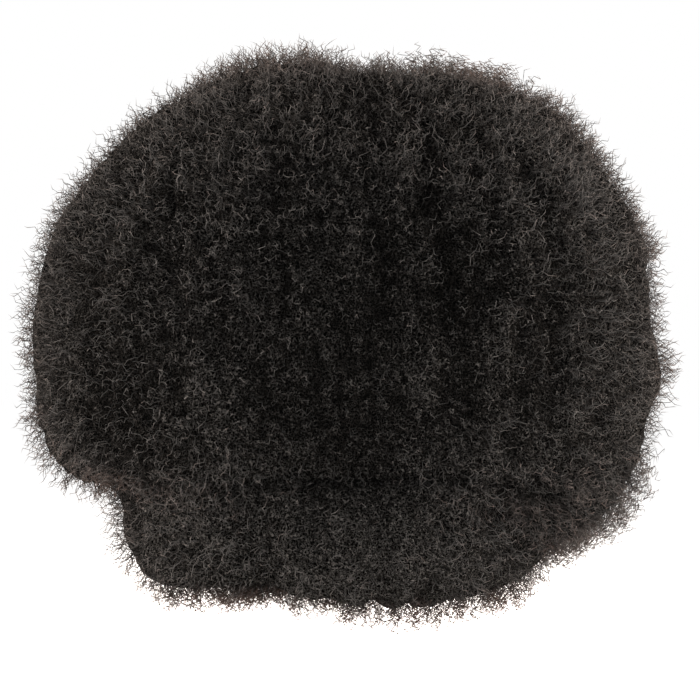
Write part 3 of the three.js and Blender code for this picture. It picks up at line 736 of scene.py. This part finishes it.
# Metres: the thickness in the middle and at the outline, the greatest length, the loops' radius,
# and how deep a curl is rooted
FINE_CURL, COARSE_CURL, LONGEST_CURL = 0.00037, 0.00044, 0.021
LOOP_RADIUS, ROOT_DEPTH = (0.0009, 0.0017), 0.001
COILS_PER_MM, STEPS_PER_COIL = (0.15, 0.26), 2.7
# How a curl's lean is made up: outwards by a random amount, and more on the back, down the hair,
# with its neighbours, and its own way
STAND, STAND_ON_BACK, DOWN_LEAN, GATHERED_LEAN, OWN_LEAN = (0.3, 1.5), 0.7, 0.1, 0.6, 0.4
LONG_SHARE, LONG_TIMES = 0.07, 1.5
# Fibre colours: near black at the root, the fibre's own grey, a painted brown glow at the tip as of
# light shining through, and painted warm light
ROOT_DARK, FIBRE_GREY = (0.005, 0.005, 0.005, 1), (0.06, 0.059, 0.057, 1)
TIP_PAINTED_GLOW, PAINTED_WARM_BROWN = (0.12, 0.095, 0.085, 1), (0.1, 0.062, 0.048, 1)


def roots(rows, normals, rise, weight, count, rng):
    """Seeded random spots on a grid, as likely as a cell's area times its weight.

    Gives each spot's place, its normal, the way down the hair, and how much it stands out.
    """
    a, b, c, d = rows[:-1, :-1], rows[1:, :-1], rows[1:, 1:], rows[:-1, 1:]
    area = np.linalg.norm(np.cross(c - a, d - b), axis=-1) * weight
    chance = np.cumsum(area.ravel()) / area.sum()
    cell = np.minimum(np.searchsorted(chance, rng.random(count)), area.size - 1)
    row, column = np.unravel_index(cell, area.shape)
    s, t = rng.random((2, count, 1))

    def blend(grid):
        top = mixed(grid[row, column], grid[row, column + 1], t)
        return mixed(top, mixed(grid[row + 1, column], grid[row + 1, column + 1], t), s)

    down = rows[row + 1, column] - rows[row, column]
    down /= np.maximum(np.linalg.norm(down, axis=-1, keepdims=True), 1e-9)
    return blend(rows), blend(normals), down, blend(rise[..., None])[:, 0]


def spirals(start, lean, length, radius, coils, steps, rng):
    """Centre lines of springs: start + lean·length·s^0.8 + a bow, with a circle round the lean.

    The circle's radius grows from nothing over the first fifth, and its angle is the number of
    coils times s from a random start.
    """
    count = len(start)
    s = np.linspace(0, 1, steps + 1)[None, :, None]
    up = s**0.8
    side = unit(np.cross(lean, unit(rng.normal(size=(count, 3)))))
    other = np.cross(lean, side)
    angle = 2 * np.pi * (coils[:, None, None] * s + rng.random((count, 1, 1)))
    grown = np.clip(s * 5, 0, 1) * radius[:, None, None]
    bow = side * rng.uniform(-0.5, 0.5, (count, 1)) * length[:, None]
    line = start[:, None] + lean[:, None] * (length[:, None, None] * up) + bow[:, None] * s * s
    return line + grown * (np.cos(angle) * side[:, None] + np.sin(angle) * other[:, None])


def fibres(name, lines, lean, tone_with_painted_light, warmth, thickness):
    """Tubes with three sides along the centre lines, which come to a point at both ends."""
    count, points = lines.shape[:2]
    tangent = unit(np.gradient(lines, axis=1))
    side = unit(np.cross(tangent, lean[:, None] + 0.31))
    other = np.cross(tangent, side)
    angle = np.arange(CURL_SIDES) * 2 * np.pi / CURL_SIDES
    ring = np.cos(angle)[:, None] * side[:, :, None] + np.sin(angle)[:, None] * other[:, :, None]
    skin = (lines[:, :, None] + ring * thickness[:, None, None, None] / 2)[:, 1:-1]
    index = np.arange(skin.size // 3).reshape(skin.shape[:3])
    beside = np.roll(index, -1, axis=2)
    quads = np.stack([index[:, :-1], beside[:, :-1], beside[:, 1:], index[:, 1:]], axis=-1)
    root = index.size + np.arange(count)[:, None] + 0 * index[:, 0]
    ends = [[root, beside[:, 0], index[:, 0]], [index[:, -1], beside[:, -1], root + count]]
    ends = np.concatenate([np.stack(end, axis=-1).reshape(-1, 3) for end in ends])
    tip = np.broadcast_to(np.linspace(0, 1, points)[1:-1, None], index.shape).ravel()
    inner = index[0].size
    return mesh_object(
        name,
        np.concatenate([skin.reshape(-1, 3), lines[:, 0], lines[:, -1]]),
        quads.reshape(-1, 4),
        ends,
        tip=np.concatenate([tip, np.zeros(count), np.ones(count)]),
        tone=np.concatenate([np.repeat(tone_with_painted_light, inner), tone_with_painted_light, tone_with_painted_light]),
        warm=np.concatenate([np.repeat(warmth, inner), warmth, warmth]),
    )


def curl_group(
    name, grid, weight, count, seed,
    steps=5, sizes=(5.5, 12), hang=0.0, warm=0.0, even=0.0, loop=1.0,
):
    """A piece of loose curls over part of a grid, with their leans gathered by slow noise.

    Their number goes by a cell's area times its weight, and is higher on crests, in hollows
    and round the outline. A length is a random size in millimetres, longer on crests and tufts.
    hang pulls the leans down, the warm share paints the curls browner with painted warm light,
    even levels their number between crests and hollows, and loop widens the spirals.
    """
    rows, normals, rise = grid
    rng = np.random.default_rng(seed)
    across = (normals[:-1, :-1, 1] + normals[1:, 1:, 1]) / 2
    crest = (rise[:-1, :-1] + rise[1:, 1:]) / 2
    hollow = np.clip(-tufted(rows[:-1, :-1]) / 8, 0, 1)
    weight = weight * mixed(0.45 + 1.1 * crest, 1, even) * (1 + 1.5 * hollow)
    corner = 2 * np.abs(normals[:-1, :-1, 0] * normals[:-1, :-1, 1])
    weight = weight * (1 + OUTLINE_SHARE * np.exp(-((across / 0.3) ** 2)) + CORNER_SHARE * corner)
    start, normal, down, risen = roots(rows, normals, rise, weight, count, rng)
    cell = 9 + 6 * (hang > 0)
    gather = np.stack([noise(start, cell, seed + step) for step in (1, 2, 3)], axis=-1)
    outline = np.exp(-((normal[:, 1] / 0.35) ** 2))
    stand = rng.uniform(*STAND, (count, 1)) + STAND_ON_BACK * (1 - outline[:, None])
    lean = normal * stand + DOWN_LEAN * down + GATHERED_LEAN * gather
    lean = unit(lean + OWN_LEAN * rng.normal(size=start.shape) - (0, 0, hang))
    fluffy = np.minimum(np.abs(tufted(start)) / 8, 1)
    times = np.where(rng.random(count) < LONG_SHARE, LONG_TIMES, 1)
    tuft = np.clip(0.75 + 0.5 * risen + 0.8 * min(hang, 0.5) * noise(start, 15, seed + 5), 0.4, 2)
    length = 0.001 * rng.uniform(*sizes, count) * tuft * (1 + 0.4 * fluffy) * times
    aslant = 2 * np.abs(normal[:, 0] * normal[:, 1])
    length = np.minimum(length * (1.3 - 0.3 * outline + CORNER_LENGTH * aslant), LONGEST_CURL)
    radius = loop * rng.uniform(*LOOP_RADIUS, count) * (1 + 0.3 * outline)
    coils = np.minimum(rng.uniform(*COILS_PER_MM, count) * length * 1000, steps / STEPS_PER_COIL)
    lines = spirals(start - normal * ROOT_DEPTH, lean, length, radius, coils, steps, rng)
    # A curl's tone: a random share of its own, and painted light that makes curls on crests and at
    # the outline lighter
    tone_with_painted_light = 0.1 + 0.5 * rng.random(count) + 0.3 * risen + 0.1 * outline
    # Painted warm light: browner at the outline, as of light shining through the fibres, and by the
    # group's own share, most at the hems, where it stands for warm light thrown up from below
    warmth = np.clip(warm + 0.5 * outline, 0, 1)
    thickness = mixed(FINE_CURL, COARSE_CURL, np.maximum(outline, aslant))
    piece = fibres(name, lines, lean, tone_with_painted_light, warmth, thickness)
    piece.data.materials.append(curl_fibre)
    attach(piece, "root")


def between(rows, first, last):
    """True for the rows from first up to last, which itself is left out."""
    return (rows >= first) & (rows < last)


curl_fibre, nodes, link, shader = material("loose kinky fibre", 0.5, 0.06)
tip_mark = nodes.new("ShaderNodeAttribute")
tip_mark.attribute_name = "tip"
tone_mark = nodes.new("ShaderNodeAttribute")
tone_mark.attribute_name = "tone"
# The fibre's colour goes from near black at the root towards a painted brown glow at the tip, as of
# light shining through it; the tone mark sets how far
fibre_colour = nodes.new("ShaderNodeValToRGB")
fibre_colour.color_ramp.elements[0].color = ROOT_DARK
fibre_colour.color_ramp.elements[1].color = TIP_PAINTED_GLOW
fibre_colour.color_ramp.elements.new(0.5).color = FIBRE_GREY
lighter = combined("MULTIPLY", tip_mark.outputs["Fac"], tone_mark.outputs["Fac"])
link(lighter, fibre_colour.inputs["Fac"])
# Painted warm light, mixed in by the warm mark
warm_mark = nodes.new("ShaderNodeAttribute")
warm_mark.attribute_name = "warm"
warm_colour = nodes.new("ShaderNodeValToRGB")
warm_colour.color_ramp.elements[0].color = ROOT_DARK
warm_colour.color_ramp.elements[1].color = PAINTED_WARM_BROWN
link(lighter, warm_colour.inputs["Fac"])
warmed = nodes.new("ShaderNodeMix")
warmed.data_type = "RGBA"
link(warm_mark.outputs["Fac"], warmed.inputs["Factor"])
link(fibre_colour.outputs["Color"], warmed.inputs["A"])
link(warm_colour.outputs["Color"], warmed.inputs["B"])
link(warmed.outputs["Result"], shader.inputs["Base Color"])

# The upper hair in six parts, on a grid whose first column follows its last one again
wide_rows, wide_normals, wide_rise = (
    np.concatenate([grid, grid[:, :1]], axis=1) for grid in (hair_rows, hair_normals, rise)
)
upper = wide_rows, wide_normals, wide_rise
wide_turns = ((np.arange(HAIR_COLUMNS) + 0.5) * 360 / HAIR_COLUMNS)[None, :]
row_number = np.arange(len(hair_rows) - 1)[:, None]
on_outside = row_number < OUTER_ROWS - 1
grows = 1.0 * on_outside + 0.5 * between(row_number, OUTER_ROWS - 1, OUTER_ROWS + 24)
at_back = aside(wide_turns) > 96
at_left = ~at_back & (np.sin(np.radians(wide_turns)) >= 0)
at_right = ~(at_back | at_left)
at_top = row_number < OUTER_ROWS // 2
flanks = {
    "curls_back_upper": (at_back * at_top, 4300),
    "curls_back_lower": (at_back * ~at_top, 4100),
    "curls_left_upper": (at_left * at_top, 3300),
    "curls_left_lower": (at_left * ~at_top, 3300),
    "curls_right_upper": (at_right * at_top, 3300),
    "curls_right_lower": (at_right * ~at_top, 3000),
}
for seed, (name, (part, count)) in enumerate(flanks.items()):
    curl_group(name, upper, grows * part, count, 100 + 10 * seed)

# Along the hem of the sides and the back, and round the face
past_face = aside(wide_turns) > FACE_TURN
by_face = aside(wide_turns) < FACE_TURN + FACE_SOFTEN
beside_face = by_face & (aside(wide_turns) > FACE_TURN - FACE_SOFTEN)
at_rim = between(row_number, OUTER_ROWS - 13, OUTER_ROWS + 8) & past_face
at_fringe = between(row_number, OUTER_ROWS - 6, OUTER_ROWS + 3) & by_face
at_fringe = at_fringe | (between(row_number, OUTER_ROWS - 6, OUTER_ROWS + 28) & beside_face)
rim = dict(steps=7, sizes=(7, 15), hang=0.5, warm=0.4, even=1.0, loop=1.3)
curl_group("curls_rim", upper, at_rim, 1800, 180, **rim)
fringe = dict(steps=7, sizes=(7, 14), hang=0.3, even=1.0)
curl_group("curls_fringe", upper, at_fringe, 1100, 190, **fringe)

# In the thin hair, and as wisps on the crown's right
spot = wide_rows[:-1, :-1]
at_thin = between(row_number, 63, OUTER_ROWS + 8)
at_thin = at_thin * ease(THIN_SPREAD - aside(wide_turns - THIN_TURN), 0, THIN_SPREAD * 0.5)
at_thin = at_thin * ease(-spot[..., 2], 0.2, 0.24)
at_crown = on_outside * ease(spot[..., 2], 0.008, 0.016) * ease(-spot[..., 0], 0.03, 0.05)
wisps = dict(steps=12, sizes=(9, 20), warm=0.3, even=1.0, loop=1.7)
curl_group("curls_thin_side", upper, at_thin, 850, 210, hang=0.7, **wisps)
curl_group("curls_wisps", upper, at_crown, 300, 220, **wisps)

# Over the nape and along its hem, thicker at both ends
nape = nape_rows, nape_normals, nape_rise
nape_row = np.arange(ring - 1)[:, None]
by_end = from_end[:-1] < 2 * NAPE_ROUNDED
on_nape = between(nape_row, NAPE_TOP_ROWS - 1, nape_outer.stop + 7) * (1 + 3.0 * by_end)
at_hem = between(nape_row, NAPE_TOP_ROWS + 23, nape_outer.stop + 9) * (1 + 2.0 * by_end)
curl_group("curls_nape", nape, on_nape, 2600, 170)
hem = dict(steps=8, sizes=(9, 18), hang=0.6, warm=0.8, even=1.0, loop=1.4)
curl_group("curls_hem", nape, at_hem, 2400, 200, **hem)

# Studio
# A pale floor well below the wig, a white surround, and large soft lights on every side.
FLOOR_LEVEL, FLOOR_HALF, FLOOR_GLOW = -0.47, 12.0, 0.62
WARM_LIGHT, WHITE_LIGHT = (1, 0.88, 0.8), (1, 1, 1)
HAIR_MIDDLE = (0, 0, -0.14)
CAMERA_SPOT, CAMERA_AIM, CAMERA_LENS = (-0.002, 1.52, -0.154), (-0.002, 0, -0.154), 120.5
# Each light's name, place and width in metres, power in watts, and colour
LIGHTS = (
    ("right light", (-1.6, -0.35, 0.35), 1.0, 110, WARM_LIGHT),
    ("left light", (1.6, -0.35, 0.3), 1.0, 100, WARM_LIGHT),
    ("top light", (-0.1, -0.5, 1.5), 1.0, 50, WARM_LIGHT),
    ("back light", (-0.4, 1.7, 0.6), 1.2, 13, WHITE_LIGHT),
    ("front light", (0.3, -1.7, 0.5), 1.2, 10, WARM_LIGHT),
)


def aim(thing, target):
    """Turns a light or a camera so that it looks from its place at the target."""
    direction = np.array(target) - np.array(thing.location)
    thing.rotation_euler = mathutils.Vector(direction).to_track_quat("-Z", "Y").to_euler()


floor_corners = FLOOR_HALF * np.array([(-1, -1), (1, -1), (1, 1), (-1, 1)])
floor_points = np.column_stack([floor_corners, np.full(4, FLOOR_LEVEL)])
floor = mesh_object("floor", floor_points, np.array([[0, 1, 2, 3]]), np.zeros((0, 3), int))
pale, nodes, link, shader = material("pale floor", 0.9, 0.0)
shader.inputs["Base Color"].default_value = (0.95, 0.95, 0.95, 1)
shader.inputs["Emission Color"].default_value = (1, 1, 1, 1)
shader.inputs["Emission Strength"].default_value = FLOOR_GLOW
floor.data.materials.append(pale)

world = bpy.data.worlds.new("white surround")
world.use_nodes = True
bpy.context.scene.world = world
surround = world.node_tree.nodes["Background"]
seen = world.node_tree.nodes.new("ShaderNodeLightPath")
softer = world.node_tree.nodes.new("ShaderNodeMapRange")
softer.inputs["To Min"].default_value = 0.4
world.node_tree.links.new(seen.outputs["Is Camera Ray"], softer.inputs["Value"])
world.node_tree.links.new(softer.outputs["Result"], surround.inputs["Strength"])
surround.inputs["Color"].default_value = (1, 1, 1, 1)

for name, place_of_light, width, power, colour in LIGHTS:
    lamp = bpy.data.lights.new(name, "AREA")
    lamp.size = width
    lamp.color = colour
    lamp.energy = power
    light = bpy.data.objects.new(name, lamp)
    light.location = place_of_light
    bpy.context.scene.collection.objects.link(light)
    aim(light, HAIR_MIDDLE)

lens = bpy.data.cameras.new("photo camera")
lens.lens = CAMERA_LENS
camera = bpy.data.objects.new("photo camera", lens)
camera.location = CAMERA_SPOT
bpy.context.scene.collection.objects.link(camera)
aim(camera, CAMERA_AIM)
bpy.context.scene.camera = camera
bpy.context.scene.view_settings.view_transform = "Standard"
